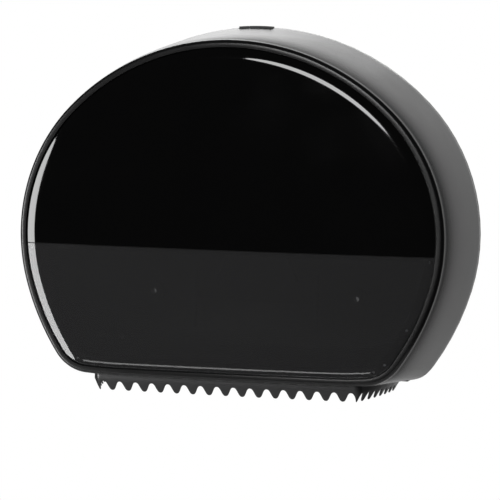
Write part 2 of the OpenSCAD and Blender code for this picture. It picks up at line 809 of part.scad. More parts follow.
// The tongue points forwards when the lock is open, and to the right when it is locked.
module cam_tongue() {
    hole_w = tang_w + 0.1;
    color([0.7, 0.7, 0.72])
        translate([barrel_x, -barrel_y, tongue_z])
            difference() {
                union() {
                    cylinder(r = barrel_r + 0.9, h = tongue_t);
                    translate([-tongue_w / 2, -tongue_l + tongue_w / 2, 0])
                        cube([tongue_w, tongue_l - tongue_w / 2, tongue_t]);
                    translate([0, -tongue_l + tongue_w / 2, 0])
                        cylinder(r = tongue_w / 2, h = tongue_t);
                }
                translate([-hole_w / 2, -hole_w / 2, -1])
                    cube([hole_w, hole_w, tongue_t + 2]);
            }
}

module cam_screw() {
    color([0.7, 0.7, 0.72])
        translate([barrel_x, -barrel_y, tongue_z])
            rotate([180, 0, 0])
                screw(head_r, 1.6, small_shank_r, 5.5);
}

// ---- Hub ----

// The drum is open at the front, with ribs between it and the tube that runs on the post.
module roll_hub() {
    inner_r = post_r + run_fit + hub_wall;
    color([0.2, 0.2, 0.21])
        difference() {
            union() {
                rod(0, hub_z, hub_y, hub_flange_r, hub_flange_t);
                rod(0, hub_z, hub_y, inner_r, hub_l);
                difference() {
                    union() {
                        rod(0, hub_z, hub_y, drum_r, hub_l - lead_in);
                        translate([0, -hub_front, hub_z])
                            rotate([-90, 0, 0])
                                cylinder(r1 = drum_r - hub_wall * 0.6, r2 = drum_r, h = lead_in + eps);
                    }
                    rod(0, hub_z, hub_y - 1, drum_r - hub_wall, hub_l + 2);
                }
                for (a = [0:60:300])
                    translate([0, 0, hub_z])
                        rotate([0, a, 0])
                            translate([post_r + 1, -hub_front + 2 * lead_in, -rib_w / 2])
                                cube([drum_r - post_r - 2, hub_l - 2 * lead_in, rib_w]);
            }
            rod(0, hub_z, hub_y - 1, post_r + run_fit, hub_l + 2);
        }
}

// ---- Cover ----

// Section of the skirt: outer wall, rounded front edge, step for the face, ledge, inner wall.
round_steps = [22.5, 45, 67.5, 90];
skirt_section = concat([[rear_gap, 0], [edge_y, 0]],
    [for (a = round_steps) [edge_y + edge_r * sin(a), edge_r * (1 - cos(a))]],
    [[depth, lip_w], [seat_y, lip_w], [seat_y, ledge_in], [ledge_y, ledge_in],
        [ledge_y, cover_wall + 3], [ledge_y - 3, cover_wall], [rear_gap, cover_wall]]);

// The bottom of the cover is open round the chute.
module bottom_opening() {
    front_x = corner_c[0] + chute_r + opening_gap;
    side = concat([for (s = side_stops) path(s, -opening_gap)],
        [[chute_rear_x + opening_gap, hinge_y]]);
    right = concat([for (j = [0:6]) let (x = front_x * j / 6) [x, bow(x) - ledge_y + opening_setback]],
        side);
    translate([0, 0, -2 * belly_drop])
        linear_extrude(belly_drop + opening_h)
            polygon(concat(right, [for (i = [len(right) - 1:-1:1]) [-right[i][0], right[i][1]]]));
}

// The bottom rear edge is rounded about the hinge line, so that it clears the plate as the cover swings.
module swing_relief() {
    reach = 2 * hinge_y;
    for (i = [-1, 1])
        mirror([i > 0 ? 0 : 1, 0, 0])
            difference() {
                translate([chute_rear_x, -hinge_y, hinge_z - reach])
                    cube([swing_limit_x - chute_rear_x + 10, reach, reach]);
                crossbar(chute_rear_x - 1, hinge_y, hinge_z, swing_r,
                    swing_limit_x - chute_rear_x + 12);
            }
}

module hinge_eyes() {
    web_z = -belly_drop - belly_flare * 0.5;
    for (i = [-1, 1])
        mirror([i > 0 ? 0 : 1, 0, 0]) {
            crossbar(eye_x, hinge_y, hinge_z, eye_r, eye_t);
            translate([eye_x, -hinge_y - eye_r, web_z])
                cube([eye_t, 2 * eye_r, hinge_z - web_z]);
            translate([eye_x, 0, 0])
                rotate([90, 0, 90])
                    linear_extrude(eye_t)
                        polygon([[-hinge_y - eye_r + 2, hinge_z], [-hinge_y - eye_r + 2, web_z],
                            [-hinge_y - 40, web_z]]);
        }
}

function face_screw_places() = [for (i = [-1, 1]) for (h = face_screw_headings)
    let (k = arc_at(h), p = outline_point([k, h], edge_y, screw_inset)) [i * p[0], p[1]]];
function arc_at(h) = h < heading(1) ? 0 : h < heading(2) ? 1 : h < heading(3) ? 2 : 3;

module cover_skirt() {
    color([0.24, 0.24, 0.25])
        difference() {
            union() {
                difference() {
                    skin([for (q = skirt_section) ring(q[0], q[1])], true);
                    bottom_opening();
                    swing_relief();
                    block(lock_x, notch_w, 0, notch_y, top_z - 12, top_z + 30);
                }
                hinge_eyes();
                block(keeper_x, keeper_w + 4, foot_y, foot_y + foot_l, arm_z + keeper_t,
                    crown_z(abs(keeper_x) + keeper_w / 2 + 2, foot_y + foot_l) - cover_wall / 2);
            }
            for (i = [-1, 1])
                crossbar(i > 0 ? eye_x - 1 : -eye_x - eye_t - 1, hinge_y, hinge_z, pin_r + run_fit,
                    eye_t + 2);
            for (p = face_screw_places())
                at_face(p)
                    translate([0, 0, -ledge_t - 1])
                        cylinder(r = small_shank_r + 0.2, h = ledge_t + 2);
            for (p = keeper_screw_places())
                translate([p[0], p[1], arm_z])
                    cylinder(r = small_shank_r, h = keeper_t + 3.4);
        }
}

// The glossy face as one plate with a sloping border, before it is divided at the seam.
face_in = lip_w + face_gap;
module face_plate() {
    flat_in = face_in + 1.6 + border_w;
    beyond = 5 * face_t;
    bowed(seat_y, depth)
        skin([ring(seat_y - beyond, face_in), ring(depth - border_drop - 1, face_in),
            ring(depth - border_drop, face_in + 1.6), ring(depth - 0.06, flat_in),
            ring(depth + beyond, flat_in)], false, true);
}

module face_pilots() {
    for (p = face_screw_places())
        at_face(p)
            translate([0, 0, -1])
                cylinder(r = small_shank_r, h = 3);
}

module upper_panel() {
    lap_x = outline_point([1, 90], edge_y, ledge_in)[0] - 3;
    color([0.03, 0.03, 0.035])
        difference() {
            union() {
                intersection() {
                    face_plate();
                    block(0, 2 * outline_h, 0, 2 * depth, seam_z + face_gap / 2, 2 * top_z);
                }
                bowed(ledge_y, seat_y)
                    block(0, 2 * lap_x, depth / 2, 2 * depth, seam_z - lap_h * 0.3,
                        seam_z + lap_h * 0.7);
                bowed(ledge_y + ledge_t / 2, seat_y + face_t / 2)
                    block(0, 2 * lap_x, depth / 2, 2 * depth, seam_z + face_gap,
                        seam_z + lap_h * 0.7);
            }
            face_pilots();
        }
}

module front_window() {
    color([0.06, 0.06, 0.065, 0.6])
        difference() {
            intersection() {
                face_plate();
                block(0, 2 * outline_h, 0, 2 * depth, -2 * belly_drop, seam_z - face_gap / 2);
            }
            face_pilots();
        }
}

// The heads stand clear of the ledge's facets by a hair.
face_screw_play = 0.05;

module face_screws() {
    color([0.7, 0.7, 0.72])
        for (p = face_screw_places())
            at_face(p)
                translate([0, 0, -ledge_t - face_screw_play])
                    rotate([180, 0, 0])
                        screw(small_head_r, head_h, small_shank_r, ledge_t + 1.8);
}

// ---- Catch on the cover ----

function keeper_screw_places() = [for (i = [-1, 1]) [keeper_x + i * keeper_w / 4, -keeper_screw_y]];

// A bent strip: its foot is screwed under the cover's crown, and its hook hangs behind the tongue.
module latch_keeper() {
    color([0.7, 0.7, 0.72])
        difference() {
            union() {
                block(keeper_x, hook_w, hook_y - keeper_t, hook_y, hook_z, arm_z + keeper_t);
                block(keeper_x, hook_w, hook_y - keeper_t, foot_y + 1, arm_z, arm_z + keeper_t);
                block(keeper_x, keeper_w, foot_y, foot_y + foot_l - 1, arm_z, arm_z + keeper_t);
            }
            for (p = keeper_screw_places())
                translate([p[0], p[1], arm_z - 1])
                    cylinder(r = small_shank_r + 0.2, h = keeper_t + 2);
        }
}

module keeper_screws() {
    color([0.7, 0.7, 0.72])
        for (p = keeper_screw_places())
            translate([p[0], p[1], arm_z])
                rotate([180, 0, 0])
                    screw(small_head_r, 1.4, small_shank_r, keeper_t + 3);
}

back_plate();
spindle_post();
post_screws();
hub_cap();
hub_screw();
brake_spring();
brake_screw();
stub_peg();
stub_screw();
outlet_chute();
chute_screws();
tear_bar();
tear_bar_screws();
hinge_pins();
lock_housing();
lock_screws();
lock_barrel();
cam_tongue();
cam_screw();
roll_hub();
cover_skirt();
upper_panel();
front_window();
face_screws();
latch_keeper();
keeper_screws();
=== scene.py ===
import math

import bmesh
import bpy
from mathutils import Matrix, Vector


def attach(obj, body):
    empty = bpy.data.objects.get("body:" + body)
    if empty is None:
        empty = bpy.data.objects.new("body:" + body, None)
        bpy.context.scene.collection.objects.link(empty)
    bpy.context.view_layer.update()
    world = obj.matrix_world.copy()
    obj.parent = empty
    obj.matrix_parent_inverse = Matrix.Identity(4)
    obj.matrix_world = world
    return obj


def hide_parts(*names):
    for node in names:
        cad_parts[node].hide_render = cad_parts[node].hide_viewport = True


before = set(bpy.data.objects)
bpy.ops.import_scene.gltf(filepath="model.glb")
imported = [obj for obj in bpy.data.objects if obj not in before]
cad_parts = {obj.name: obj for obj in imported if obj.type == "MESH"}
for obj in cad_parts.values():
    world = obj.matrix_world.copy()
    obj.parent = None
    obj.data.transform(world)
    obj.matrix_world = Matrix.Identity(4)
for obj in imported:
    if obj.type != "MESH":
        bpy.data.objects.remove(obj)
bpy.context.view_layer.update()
mm = 0.001
weldGap, cutSlack = 2e-6, 1e-7  # metres
print("frame loaded,", len(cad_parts), "nodes")

# ---- camera, fitted to the photograph ----

cameraPose = {
    "azimuth": 13.921,  # degrees to the right of the front
    "elevation": 3.654,
    "roll": 1.324,
    "distance": 2.7567,
    "target": (0.007831, -0.066, -0.002988),
    "lens": 208.94,
}


def placeCamera(pose):
    az, el, roll = (math.radians(pose[k]) for k in ("azimuth", "elevation", "roll"))
    back = Vector((math.sin(az) * math.cos(el), -math.cos(az) * math.cos(el), math.sin(el)))
    right = Vector((math.cos(az), math.sin(az), 0.0))
    up = back.cross(right)
    camX = right * math.cos(roll) + up * math.sin(roll)
    camY = up * math.cos(roll) - right * math.sin(roll)
    data = bpy.data.cameras.new("photoCamera")
    data.lens = pose["lens"]
    data.clip_end = 60.0
    cam = bpy.data.objects.new("photoCamera", data)
    bpy.context.scene.collection.objects.link(cam)
    spot = Vector(pose["target"]) + back * pose["distance"]
    turn = Matrix((camX, camY, back)).transposed().to_4x4()
    cam.matrix_world = Matrix.Translation(spot) @ turn
    bpy.context.scene.camera = cam


placeCamera(cameraPose)
print("camera placed")

# ---- small helpers ----


def addObject(name, mesh):
    obj = bpy.data.objects.new(name, mesh)
    bpy.context.scene.collection.objects.link(obj)
    return obj


def meshFrom(name, bm, recalc=True):
    if recalc:
        bmesh.ops.recalc_face_normals(bm, faces=bm.faces)
    mesh = bpy.data.meshes.new(name)
    bm.to_mesh(mesh)
    bm.free()
    return mesh


def bake(obj):
    # turns the modifiers' result into a plain mesh
    graph = bpy.context.evaluated_depsgraph_get()
    graph.update()
    done = bpy.data.meshes.new_from_object(obj.evaluated_get(graph))
    obj.modifiers.clear()
    old = obj.data
    obj.data = done
    bpy.data.meshes.remove(old)
    return obj


def smoothByAngle(obj, degrees=34):
    for face in obj.data.polygons:
        face.use_smooth = True
    obj.data.set_sharp_from_angle(angle=math.radians(degrees))


def paint(obj, material):
    obj.data.materials.clear()
    obj.data.materials.append(material)


def prism(name, points, low, high):
    # an upright block over a plan outline
    bm = bmesh.new()
    rings = [[bm.verts.new((x * mm, y * mm, z * mm)) for x, y in points] for z in (low, high)]
    n = len(points)
    bm.faces.new(rings[0])
    bm.faces.new(rings[1])
    for i in range(n):
        j = (i + 1) % n
        bm.faces.new((rings[0][i], rings[0][j], rings[1][j], rings[1][i]))
    return addObject(name, meshFrom(name, bm))


def boxPrism(name, xs, ys, zs):
    corners = [(xs[0], ys[0]), (xs[1], ys[0]), (xs[1], ys[1]), (xs[0], ys[1])]
    return prism(name, corners, zs[0], zs[1])


def crossbar(name, xs, y, z, radius, sides=72):
    # a round bar along X
    bm = bmesh.new()
    turn = Matrix.Rotation(math.pi / 2, 4, "Y")
    place = Matrix.Translation(Vector((sum(xs) / 2, y, z)) * mm)
    bmesh.ops.create_cone(bm, cap_ends=True, segments=sides, radius1=radius * mm, radius2=radius * mm,
                          depth=(xs[1] - xs[0]) * mm, matrix=place @ turn)
    return addObject(name, meshFrom(name, bm))


def carve(obj, others, operation="DIFFERENCE"):
    for other in others:
        step = obj.modifiers.new("carve", "BOOLEAN")
        step.operation = operation
        step.solver = "EXACT"
        step.object = other
        bake(obj)
        bpy.data.objects.remove(other)


def stand(obj, body, slot, *nodes):
    # the piece stands for its CAD nodes and moves with their body
    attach(obj, body)
    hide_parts(*nodes)


# ---- materials ----

# base tone, range of roughness, (scale, height) of the grain, (scale, share) of the change of tone
finishes = {
    "satinShell": {"color": 0.004, "rough": (0.23, 0.245), "grain": (2600, 0.000005),
                   "mottle": (14, 0.1)},
    "glossFace": {"color": 0.001, "rough": (0.03, 0.06), "grain": (34, 0.00002), "mottle": (9, 0.15)},
    "satinBase": {"color": 0.03, "rough": (0.42, 0.52), "grain": (2200, 0.00005), "mottle": (18, 0.12)},
    "barPlastic": {"color": 0.02, "rough": (0.28, 0.34), "grain": (1800, 0.00002), "mottle": (40, 0.12)},
    "hubPlastic": {"color": 0.16, "rough": (0.38, 0.5), "grain": (1900, 0.00005), "mottle": (30, 0.08)},
    "zincScrew": {"color": 0.5, "rough": (0.28, 0.4), "grain": (900, 0.00002), "mottle": (160, 0.12),
                  "metal": 1.0},
    "springSteel": {"color": 0.56, "rough": (0.2, 0.32), "grain": (700, 0.00002), "mottle": (60, 0.1),
                    "metal": 1.0},
    "nickelLock": {"color": 0.62, "rough": (0.12, 0.2), "grain": (500, 0.00001), "mottle": (80, 0.06),
                   "metal": 1.0},
}
smoke = {"ior": 1.49, "tint": (0.40, 0.44), "dense": 0.025, "denseShare": 0.6, "rough": (0.02, 0.06)}
plasticBlue, smokeBlue = 1.03, 1.02  # blue against red and green
materials = {}


def plainMaterial(name):
    mat = bpy.data.materials.new(name)
    mat.use_nodes = True
    return mat, mat.node_tree, mat.node_tree.nodes["Principled BSDF"]


def noiseNode(tree, scale, detail):
    # noise on the piece's own coordinates
    place = tree.nodes.new("ShaderNodeTexCoord")
    noise = tree.nodes.new("ShaderNodeTexNoise")
    noise.inputs["Scale"].default_value = scale
    noise.inputs["Detail"].default_value = detail
    tree.links.new(place.outputs["Object"], noise.inputs["Vector"])
    return noise.outputs["Fac"]


def shadeBetween(tree, low, high, factor, blue):
    # a slightly blue grey between two tones
    mix = tree.nodes.new("ShaderNodeMix")
    mix.data_type = "RGBA"
    for socket, tone in (("A", low), ("B", high)):
        color = [s for s in mix.inputs if s.name == socket and s.type == "RGBA"][0]
        color.default_value = (tone, tone, tone * blue, 1.0)
    tree.links.new(factor, mix.inputs["Factor"])
    return [s for s in mix.outputs if s.type == "RGBA"][0]


def valueBetween(tree, low, high, factor, reach=(0.0, 1.0)):
    span = tree.nodes.new("ShaderNodeMapRange")
    for socket, value in zip(("From Min", "From Max", "To Min", "To Max"), (*reach, low, high)):
        span.inputs[socket].default_value = value
    tree.links.new(factor, span.inputs["Value"])
    return span.outputs["Result"]


def makeFinish(name, values):
    mat, tree, shader = plainMaterial(name)
    links = tree.links
    shader.inputs["Metallic"].default_value = values.get("metal", 0.0)
    shader.inputs["IOR"].default_value = 1.5

    scale, share = values["mottle"]  # slow change of shade over the moulding
    tone = shadeBetween(tree, values["color"] * (1 - share), values["color"] * (1 + share),
                        noiseNode(tree, scale, 3.0), plasticBlue)
    links.new(tone, shader.inputs["Base Color"])

    wear = noiseNode(tree, scale * 2.7, 6.0)  # handling marks in the roughness
    links.new(valueBetween(tree, *values["rough"], wear, (0.35, 0.65)), shader.inputs["Roughness"])

    bump = tree.nodes.new("ShaderNodeBump")  # grain of the mould
    bump.inputs["Strength"].default_value = 0.5
    bump.inputs["Distance"].default_value = values["grain"][1]
    links.new(noiseNode(tree, values["grain"][0], 2.0), bump.inputs["Height"])
    links.new(bump.outputs["Normal"], shader.inputs["Normal"])
    return mat


def smokedWindow(v):
    # a dark glossy pane that lets a little through
    mat, tree, clear = plainMaterial("smokedWindow")
    nodes, links = tree.nodes, tree.links
    dense = nodes.new("ShaderNodeBsdfPrincipled")
    clear.inputs["Transmission Weight"].default_value = 1.0
    tint = noiseNode(tree, 6.0, 2.0)
    links.new(shadeBetween(tree, *v["tint"], tint, smokeBlue), clear.inputs["Base Color"])
    dense.inputs["Base Color"].default_value = (v["dense"], v["dense"], v["dense"] * smokeBlue, 1.0)
    haze = valueBetween(tree, *v["rough"], noiseNode(tree, 22.0, 5.0))  # faint wiping marks
    for shader in (clear, dense):
        shader.inputs["IOR"].default_value = v["ior"]
        links.new(haze, shader.inputs["Roughness"])
    blend = nodes.new("ShaderNodeMixShader")
    blend.inputs["Fac"].default_value = v["denseShare"]
    links.new(clear.outputs["BSDF"], blend.inputs[1])
    links.new(dense.outputs["BSDF"], blend.inputs[2])
    links.new(blend.outputs["Shader"], nodes["Material Output"].inputs["Surface"])
    return mat


for finishName, finishValues in finishes.items():
    materials[finishName] = makeFinish(finishName, finishValues)
materials["smokedWindow"] = smokedWindow(smoke)
print("materials made:", ", ".join(materials))

# ---- outline of the cover ----

outline = {
    "radii": (218.6, 168.3, 237.7, 40.2, 500.0),  # crown, shoulder, side, corner, belly
    "sweeps": (45.5, 60.5, 18.6, 51.5, 3.9),  # degrees of each, from the top to the bottom
    "steps": (36, 40, 16, 36, 4),
    "flatSteps": 12,
    "bellyDrop": 122.3,
    "edgeDepth": 127.5,  # where the front edge starts to round
    "rearGap": 3.4,
    "rimFlare": 14.3,  # growth towards the wall
    "bellyFlare": 6.0,
    "flareFade": (0.25, 172.0),  # share of the corner's sweep and heading between which it changes
    "bowR": 1850.0,  # the front's curve from side to side
}


def normalAt(heading):
    return Vector((math.sin(math.radians(heading)), math.cos(math.radians(heading))))


def bow(x):
    return outline["bowR"] - math.sqrt(outline["bowR"] ** 2 - x * x)


arcStart = [sum(outline["sweeps"][:k]) for k in range(6)]
crownTop = sum(r * (normalAt(arcStart[k]).y - normalAt(arcStart[k + 1]).y)
               for k, r in enumerate(outline["radii"])) - outline["bellyDrop"]
arcCentre = [Vector((0.0, crownTop - outline["radii"][0]))]
for k in range(1, 5):
    change = outline["radii"][k - 1] - outline["radii"][k]
    arcCentre.append(arcCentre[-1] + change * normalAt(arcStart[k]))
# a station is an arc and a heading, or 5 and a share of the straight bottom edge
stations = [(k, arcStart[k] + outline["sweeps"][k] * j / n)
            for k, n in enumerate(outline["steps"]) for j in range(n)]
stations += [(5, 1 - j / outline["flatSteps"]) for j in range(outline["flatSteps"] + 1)]


def growth(depth, heading):
    share, end = outline["flareFade"]
    start = arcStart[3] + share * outline["sweeps"][3]
    t = min(1.0, max(0.0, (heading - start) / (end - start)))
    t = t * t * (3 - 2 * t)
    flare = outline["rimFlare"] + (outline["bellyFlare"] - outline["rimFlare"]) * t
    return flare * max(0.0, 1 - depth / outline["edgeDepth"])


def outlinePoint(station, depth, inset):
    k, heading = station
    if k == 5:
        return Vector((arcCentre[4].x * heading, inset - outline["bellyDrop"] - growth(depth, 180)))
    return arcCentre[k] + (outline["radii"][k] + growth(depth, heading) - inset) * normalAt(heading)


def outlineRing(depth, inset):
    # plan points (x, z, y): towards the front they take on its curve
    share = min(1.0, (depth - outline["rearGap"]) / (outline["edgeDepth"] - outline["rearGap"]))
    right = []
    for station in stations:
        p = outlinePoint(station, depth, inset)
        edge = outlinePoint(station, outline["edgeDepth"], inset)
        right.append((p.x, p.y, share * bow(edge.x) - depth))
    return right + [(-x, z, y) for x, z, y in right[-2:0:-1]]


def crownHeight(x, depth):
    return arcCentre[0].y + math.sqrt((outline["radii"][0] + growth(depth, 0)) ** 2 - x * x)


def loftRings(name, section, closed, bowed=True):
    # section: (depth, inset) pairs, each a ring along the outline
    bm = bmesh.new()
    rings = []
    for depth, inset in section:
        ring = outlineRing(depth, inset)
        rings.append([bm.verts.new((x * mm, (y if bowed else -depth) * mm, z * mm))
                      for x, z, y in ring])
    n = len(rings[0])
    for r in range(len(rings) if closed else len(rings) - 1):
        low, high = rings[r], rings[(r + 1) % len(rings)]
        for c in range(n):
            d = (c + 1) % n
            bm.faces.new((low[c], high[c], high[d], low[d]))
    if not closed:
        bm.faces.new(rings[0])
        bm.faces.new(rings[-1])
    return addObject(name, meshFrom(name, bm))


def rounding(centre, radii, start, end, steps):
    # (depth, inset) points of a fillet, radii in that order; 0 degrees is outwards, 90 the front
    points = []
    for i in range(steps + 1):
        a = math.radians(start + (end - start) * i / steps)
        points.append((centre[0] + radii[0] * math.sin(a), centre[1] - radii[1] * math.cos(a)))
    return points


# ---- the outlet in plan: a curved front, round corners, sides that spread towards the wall ----

outlet = {"half": 123.4, "frontY": 121.0, "cornerR": 7.0, "spread": 15.5, "rearY": 2.6}


def planNormal(angle):
    return Vector((math.sin(angle), -math.cos(angle)))


outletBow = math.asin(outlet["half"] / outline["bowR"])
outletTurn = math.radians(90 - outlet["spread"])
frontC = Vector((0.0, outline["bowR"] - outlet["frontY"]))
cornerC = frontC + (outline["bowR"] - outlet["cornerR"]) * planNormal(outletBow)
sideR = outlet["cornerR"] - (outlet["rearY"] + cornerC.y) / math.cos(outletTurn)
sideC = cornerC + (outlet["cornerR"] - sideR) * planNormal(outletTurn)
frontLen = outline["bowR"] * outletBow
cornerEnd = frontLen + outlet["cornerR"] * (outletTurn - outletBow)
pathLen = cornerEnd + sideR * math.radians(outlet["spread"])


def outletPath(s, offset):
    # place and inward direction at distance s from the middle of the front
    a, side = abs(s), -1 if s < 0 else 1
    if a < frontLen:
        angle, centre, radius = a / outline["bowR"], frontC, outline["bowR"]
    elif a < cornerEnd:
        radius = outlet["cornerR"]
        angle, centre = outletBow + (a - frontLen) / radius, cornerC
    else:
        angle, centre, radius = outletTurn + (a - cornerEnd) / sideR, sideC, sideR
    out = planNormal(angle)
    p = centre + (radius - offset) * out
    return Vector((side * p.x, p.y)), Vector((-side * out.x, -out.y))


# ---- cover shell ----

shell = {
    "depth": 133.0, "wall": 2.6, "edgeR": 5.5, "edgeW": 3.2, "edgeSteps": 14,
    "rearGap": 3.4, "rim": ((0.0, 0.35), (0.1, 0.1), (0.35, 0.0)),  # (depth past the gap, inset)
    "swell": 1.6, "swellPower": 6, "swellSteps": 24,
    "lipW": 6.8, "lipR": 0.3, "lipSteps": 4, "ledgeW": 10.2, "ledgeT": 2.4, "chamfer": 3.0, "faceT": 3.2,
    "hingeY": 20.0, "hingeZ": -113.0, "swingR": 16.2,
    "eyeR": 7.5, "eyeT": 7.0, "eyeX": 149.165, "pinR": 3.06,
    "openGap": 3.0, "openDepth": 126.0, "openTop": -111.3, "openSteps": (12, 16),
    "reliefH": 40.0, "cutReach": 200.0,
    "notchX": (-22.2, 12.8), "notchY": (-16.1, 5.0), "notchZ": (183.0, 230.0),
    "bossX": (-4.5, 15.5), "bossY": (18.1, 34.1), "bossZ": 202.7,
}


def openingPlan(v):
    # the front edge follows the front's curve, the sides keep their distance from the outlet
    frontSteps, sideSteps = v["openSteps"]
    wide = cornerC.x + outlet["cornerR"] + v["openGap"]
    xs = [wide * j / frontSteps for j in range(frontSteps + 1)]
    right = [(x, bow(x) - v["openDepth"]) for x in xs]
    for j in range(sideSteps + 1):
        p = outletPath(cornerEnd + (pathLen - cornerEnd) * j / sideSteps, -v["openGap"])[0]
        right.append((p.x, p.y))
    right.append((right[-1][0], v["hingeY"]))
    return right + [(-x, y) for x, y in right[:0:-1]]


def makeShell(v):
    seat = v["depth"] - v["faceT"]
    ledge = seat - v["ledgeT"]
    inner = v["lipW"] + v["ledgeW"]
    rear, edge = v["rearGap"], v["depth"] - v["edgeR"]
    section = [(rear + past, inset) for past, inset in v["rim"]]
    for j in range(1, v["swellSteps"]):  # the walls swell a little between rim and front edge
        t = j / v["swellSteps"]
        section.append((rear + (edge - rear) * t, -v["swell"] * t * (1 - t ** v["swellPower"])))
    section += rounding((edge, v["edgeW"]), (v["edgeR"], v["edgeW"]), 0, 90, v["edgeSteps"])
    section += rounding((v["depth"] - v["lipR"], v["lipW"] - v["lipR"]), (v["lipR"], v["lipR"]),
                        90, 180, v["lipSteps"])
    section += [(seat, v["lipW"]), (seat, inner), (ledge, inner), (ledge, v["wall"] + v["chamfer"]),
                (ledge - v["chamfer"], v["wall"]), (rear, v["wall"])]
    obj = loftRings("coverShell", section, True)
    hy, hz = -v["hingeY"], v["hingeZ"]
    cutters = [prism("outletCut", openingPlan(v), -v["cutReach"], v["openTop"])]
    for side in (-1, 1):
        xs = sorted((side * (sideC.x + sideR), side * v["cutReach"]))
        relief = boxPrism("reliefCut", xs, (hy, hy + v["reliefH"]), (hz - v["reliefH"], hz))
        carve(relief, [crossbar("swingKeep", (xs[0] - 1, xs[1] + 1), hy, hz, v["swingR"], 96)])
        cutters.append(relief)
    cutters.append(boxPrism("lockNotch", v["notchX"], v["notchY"], v["notchZ"]))
    carve(obj, cutters)
    webZ = -outline["bellyDrop"] - outline["bellyFlare"] * 0.5
    for side in (-1, 1):
        xs = sorted((side * v["eyeX"], side * (v["eyeX"] + v["eyeT"])))
        eye = crossbar("hingeEye", xs, hy, hz, v["eyeR"])
        web = boxPrism("hingeWeb", xs, (hy - v["eyeR"], hy + v["eyeR"]), (webZ, hz))
        carve(eye, [web], "UNION")
        carve(obj, [eye], "UNION")
        carve(obj, [crossbar("pinBore", (xs[0] - 1, xs[1] + 1), hy, hz, v["pinR"])])
    top = crownHeight(v["bossX"][1], v["bossY"][1]) - v["wall"] / 2
    boss = boxPrism("catchBoss", v["bossX"], (-v["bossY"][1], -v["bossY"][0]), (v["bossZ"], top))
    carve(obj, [boss], "UNION")
    smoothByAngle(obj)
    paint(obj, materials["satinShell"])
    stand(obj, "cover", "cover_plastic", "cover_skirt")


makeShell(shell)
print("cover shell made")

# ---- glossy face: upper panel and smoked window ----

face = {
    "seat": 129.8, "front": 133.0, "outer": 7.0, "slopeW": 1.6, "rollW": 10.5, "drop": 1.1,
    # (distance behind the border, inset from the outer edge) of the small rounding outside it
    "shoulder": ((1.0, 0.0), (0.45, 0.5), (0.1, 1.15)), "rollSteps": 14,
    "seamZ": -0.4, "gap": 0.2, "lapH": 14.0, "lapT": 2.4, "lapX": 184.0, "lapRoot": 0.4, "lapUp": 0.7,
    "edgeR": 0.3, "columns": 48, "margin": 4.0,
    "crease": 21.0,  # less than the 22.5 degrees between the steps of a softened edge
}


def makeFace(name, low, high, v):
    # made flat: a loft between two caps, cut at the seam
    knee, border = v["outer"] + v["slopeW"], v["front"] - v["drop"]
    section = [(v["seat"], v["outer"])]
    section += [(border - behind, v["outer"] + inset) for behind, inset in v["shoulder"]]
    section.append((border, knee))
    for j in range(1, v["rollSteps"] + 1):  # the border rounds over into the flat
        t = 1 - j / v["rollSteps"]
        section.append((v["front"] - v["drop"] * t * t, knee + v["rollW"] * (1 - t)))
    obj = loftRings(name, section, False, bowed=False)
    bm = bmesh.new()
    bm.from_mesh(obj.data)
    for level, normal in ((low, -1), (high, 1)):
        if level is None:
            continue
        cut = bmesh.ops.bisect_plane(bm, geom=bm.verts[:] + bm.edges[:] + bm.faces[:], dist=cutSlack,
                                     plane_co=(0, 0, level * mm), plane_no=(0, 0, normal),
                                     clear_outer=True)
        rim = [e for e in cut["geom_cut"] if isinstance(e, bmesh.types.BMEdge)]
        bmesh.ops.holes_fill(bm, edges=rim, sides=0)
    bmesh.ops.recalc_face_normals(bm, faces=bm.faces)
    bm.to_mesh(obj.data)
    bm.free()
    soften = obj.modifiers.new("soften", "BEVEL")
    soften.width = v["edgeR"] * mm
    soften.segments = 2
    soften.limit_method = "ANGLE"
    soften.angle_limit = math.radians(50)
    return bake(obj)


def curveFace(obj, v):
    # divides the plate into columns and bends it to the front's curve
    bm = bmesh.new()
    bm.from_mesh(obj.data)
    reach = outlinePoint(stations[sum(outline["steps"][:2])], v["front"], 0).x + v["margin"]
    for j in range(1, v["columns"]):
        x = reach * (2 * j / v["columns"] - 1)
        bmesh.ops.bisect_plane(bm, geom=bm.verts[:] + bm.edges[:] + bm.faces[:], dist=cutSlack,
                               plane_co=(x * mm, 0, 0), plane_no=(1, 0, 0))
    for vert in bm.verts:
        vert.co.y += bow(vert.co.x / mm) * mm
    bm.to_mesh(obj.data)
    bm.free()
    smoothByAngle(obj, v["crease"])


upperPanel = makeFace("upperPanel", face["seamZ"] + face["gap"] / 2, None, face)
lap = boxPrism("lapStrip", (-face["lapX"], face["lapX"]),
               (-face["seat"] - face["lapRoot"], -face["seat"] + face["lapT"]),
               (face["seamZ"] - (1 - face["lapUp"]) * face["lapH"],
                face["seamZ"] + face["lapUp"] * face["lapH"]))
lapKeep = boxPrism("lapKeep", (-face["lapX"] - 1, face["lapX"] + 1), (-face["seat"] - 1, -face["seat"]),
                   (face["seamZ"] - face["lapH"], face["seamZ"] + face["gap"]))
carve(lap, [lapKeep])
carve(upperPanel, [lap], "UNION")
curveFace(upperPanel, face)
paint(upperPanel, materials["glossFace"])
stand(upperPanel, "cover", "face_plastic", "upper_panel")

windowPane = makeFace("windowPane", None, face["seamZ"] - face["gap"] / 2, face)
curveFace(windowPane, face)
paint(windowPane, materials["smokedWindow"])
stand(windowPane, "cover", "window_plastic", "front_window")
print("face and window made")

# ---- tear bar: a strip along the outlet, toothed by a node tree ----

bar = {
    "wall": 2.4, "jointZ": -121.0, "flangeW": 5.2, "flangeT": 2.4, "tipT": 1.3, "upright": 6.0,
    "frontTeeth": 8, "sideTeeth": 7, "toothSteps": 22,
    "reach": 16.7, "rearReach": 15.0, "toothH": 8.6, "rearToothH": 6.0, "lean": 4.7, "endGap": 6.24,
    "earR": 4.4, "earOffset": 5.8, "earPlaces": (0.28, 0.84), "earSink": 0.02,
}


